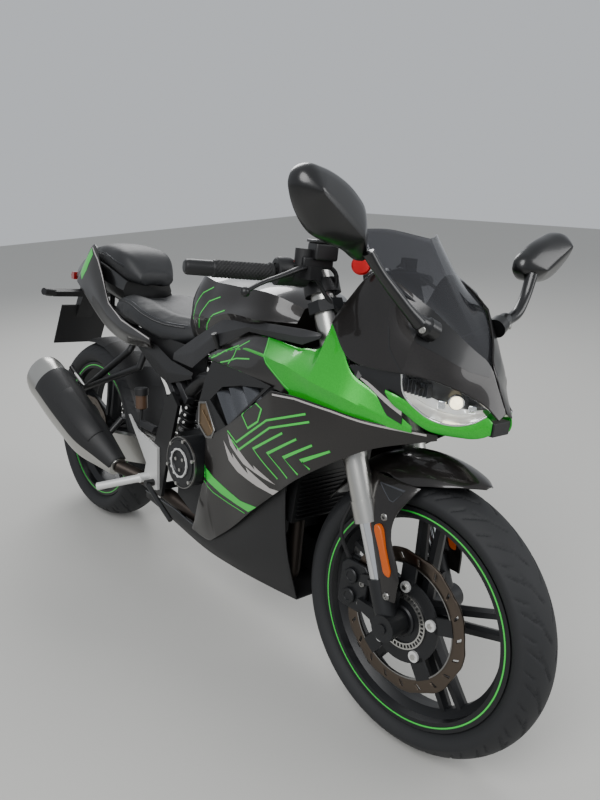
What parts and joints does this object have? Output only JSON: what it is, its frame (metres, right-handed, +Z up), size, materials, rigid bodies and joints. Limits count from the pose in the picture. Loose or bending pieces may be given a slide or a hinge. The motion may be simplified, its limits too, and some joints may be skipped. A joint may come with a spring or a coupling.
{
  "type": "sport motorcycle",
  "caption": "Faired sport motorcycle leaning on its side stand, with turning wheels, steering and a folding stand.",
  "frame": {"origin": "on the ground, at the middle of the motorcycle's length and width", "axes": "+X forward along the motorcycle, +Y to its left, +Z up from the ground"},
  "size_m": [1.9778, 0.8162, 1.1823],
  "materials": {
    "amber": "clear",
    "black_metal": "satin",
    "black_plastic": "matt",
    "chrome": "polished",
    "dark_paint": "gloss",
    "disc": "brushed",
    "engine": "satin",
    "green_paint": "gloss",
    "grey_plastic": "matt",
    "lamp": "clear",
    "leather": "matt",
    "red": "clear",
    "rim": "satin",
    "rubber": "matt",
    "silver": "satin",
    "smoke": "clear",
    "steel": "satin",
    "tyre": "matt"
  },
  "bodies": {
    "chassis": {"belly_pan": "black_plastic", "chin": "green_paint", "drive_chain": "steel", "drive_sprocket": "steel", "engine": "engine", "engine_covers": "black_metal", "exhaust_pipe": "black_metal", "fairing_stay": "black_metal", "filler_cap": "steel", "foot_controls": "black_metal", "frame": "black_metal", "frame_covers": "grey_plastic", "fuel_tank": "dark_paint", "headlamps": "lamp", "hugger": "black_plastic", "instruments": "black_plastic", "lower_fairings": "dark_paint", "mirrors": "black_plastic", "muffler": "silver", "muffler_shield": "black_plastic", "nose_cowl": "dark_paint", "passenger_pegs": "black_metal", "peg_hangers": "silver", "pillion_seat": "leather", "plate_holder": "black_plastic", "radiator": "black_metal", "rear_frame": "black_metal", "rear_shock": "black_metal", "reservoir": "black_plastic", "rider_seat": "leather", "seat_covers": "grey_plastic", "side_intakes": "black_plastic", "swingarm": "silver", "tail_cowl": "dark_paint", "tail_light": "red", "tail_wings": "dark_paint", "upper_fairings": "green_paint", "windscreen": "smoke"},
    "steering": {"fork_outer_tubes": "silver", "fork_inner_tubes": "chrome", "fork_feet": "black_metal", "lower_clamp": "black_metal", "upper_clamp": "black_metal", "handlebar_stubs": "black_metal", "grips": "rubber", "levers": "black_metal", "switch_blocks": "black_plastic", "front_fender": "dark_paint", "reflectors": "amber", "brake_calipers": "black_metal"},
    "front_wheel": {"front_tyre": "tyre", "front_rim": "rim", "front_discs": "disc"},
    "rear_wheel": {"rear_tyre": "tyre", "rear_rim": "rim", "rear_disc": "disc", "rear_sprocket": "steel"},
    "stand": {"side_stand": "black_metal"}
  },
  "joints": [
    {"name": "steering_turn", "type": "hinge", "parent": "chassis", "child": "steering", "pos_m": [0.43435, -0.04691, 0.78037], "axis": [-0.4147, 0.1408, 0.899], "range_deg": [-29.4, 24.6]},
    {"name": "front_wheel_spin", "type": "hinge", "parent": "steering", "child": "front_wheel", "pos_m": [0.69597, -0.12233, 0.28995], "axis": [-0.0381, 0.9844, -0.1717], "continuous": true},
    {"name": "rear_wheel_spin", "type": "hinge", "parent": "chassis", "child": "rear_wheel", "pos_m": [-0.683, -0.12212, 0.30005], "axis": [0, 0.988, -0.1547], "continuous": true},
    {"name": "stand_fold", "type": "hinge", "parent": "chassis", "child": "stand", "pos_m": [-0.055, 0.00256, 0.24308], "axis": [-0.1873, 0.971, 0.1484], "range_deg": [0, 78]}
  ]
}
